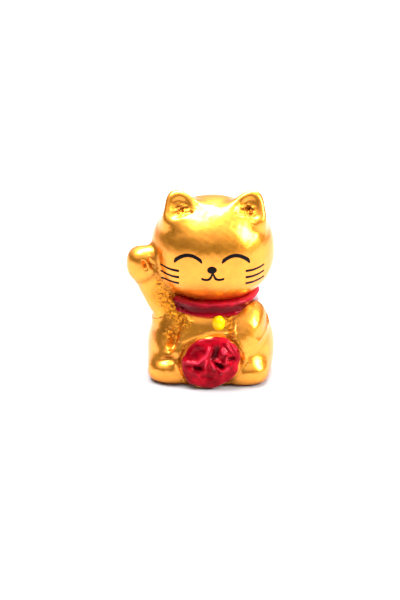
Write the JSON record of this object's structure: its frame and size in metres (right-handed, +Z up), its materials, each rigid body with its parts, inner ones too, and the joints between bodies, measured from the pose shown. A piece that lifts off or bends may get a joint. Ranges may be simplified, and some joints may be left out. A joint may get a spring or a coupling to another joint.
{
  "type": "beckoning cat figurine",
  "caption": "Small seated beckoning cat in metallic gold lacquer with a raised paw, a glossy red collar with a yellow bell, a red oval coin on its belly and a printed smiling face",
  "frame": {"origin": "middle of the flat base face that the figurine stands on", "axes": "+Z up; the cat faces -Y; -X is the cat's own right, the side of its raised paw"},
  "size_m": [0.0309, 0.0251, 0.0402],
  "materials": {
    "gold_lacquer": "metallic gold lacquer with fine flake over cast resin, semi-gloss",
    "red_enamel": "thick brushed enamel, high gloss",
    "yellow_enamel": "thick enamel drop, high gloss",
    "black_ink": "printed ink, satin"
  },
  "bodies": {
    "root": {"torso": "gold_lacquer", "right_haunch": "gold_lacquer", "left_haunch": "gold_lacquer", "right_foot": "gold_lacquer", "left_foot": "gold_lacquer", "tail": "gold_lacquer", "raised_forearm": "gold_lacquer", "raised_paw": "gold_lacquer", "resting_arm": "gold_lacquer", "resting_paw": "gold_lacquer", "head": "gold_lacquer", "right_ear": "gold_lacquer", "left_ear": "gold_lacquer", "collar": "red_enamel", "bell": "yellow_enamel", "coin": "gold_lacquer", "coin_enamel": "red_enamel", "right_eye": "black_ink", "left_eye": "black_ink", "nose": "black_ink", "mouth": "black_ink", "right_whisker_1": "black_ink", "right_whisker_2": "black_ink", "right_whisker_3": "black_ink", "left_whisker_1": "black_ink", "left_whisker_2": "black_ink", "left_whisker_3": "black_ink"}
  },
  "joints": []
}
